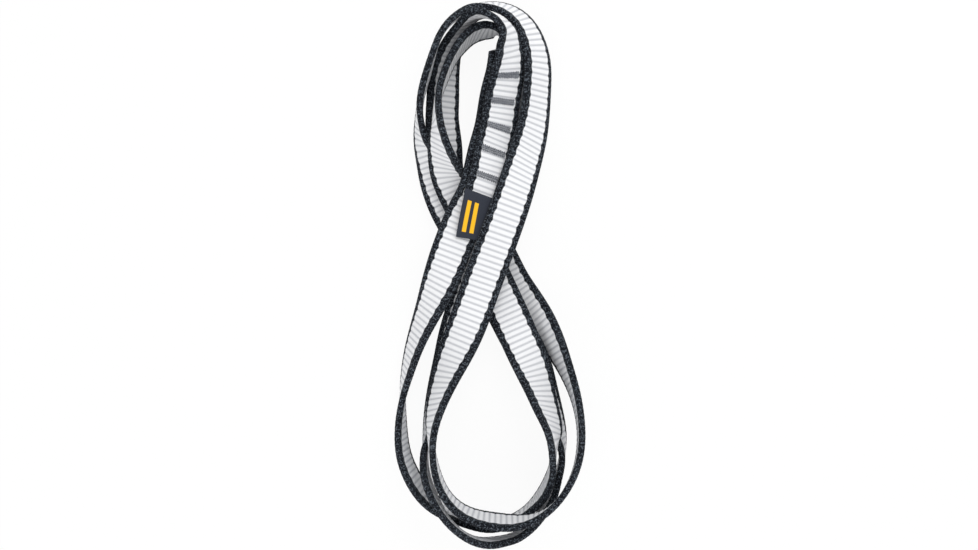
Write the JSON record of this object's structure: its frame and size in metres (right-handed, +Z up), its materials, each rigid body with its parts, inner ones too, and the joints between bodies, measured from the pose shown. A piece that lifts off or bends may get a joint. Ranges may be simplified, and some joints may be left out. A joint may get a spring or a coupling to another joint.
{
  "type": "climbing sling",
  "caption": "Flat webbing loop laid in three turns as a figure of eight, closed by a lap sewn with bar tacks, with a small sewn-in tag.",
  "frame": {"origin": "centre of the bounding box in plan, at the height of the face that the sling rests on", "axes": "+Z up from the resting face, +Y along the figure of eight towards its smaller loop, +X to the right seen from above"},
  "size_m": [0.0879, 0.2528, 0.0397],
  "materials": {
    "webbing": "white ribbed flat webbing with charcoal selvedges, matt",
    "thread": "dark grey sewing thread, matt",
    "tag": "charcoal woven tag, smooth"
  },
  "bodies": {
    "root": {"webbing": "webbing", "bar_tack_1_upper": "thread", "bar_tack_1_lower": "thread", "bar_tack_2_upper": "thread", "bar_tack_2_lower": "thread", "bar_tack_3_upper": "thread", "bar_tack_3_lower": "thread", "bar_tack_4_upper": "thread", "bar_tack_4_lower": "thread", "bar_tack_5_upper": "thread", "bar_tack_5_lower": "thread", "label": "tag"}
  },
  "joints": []
}
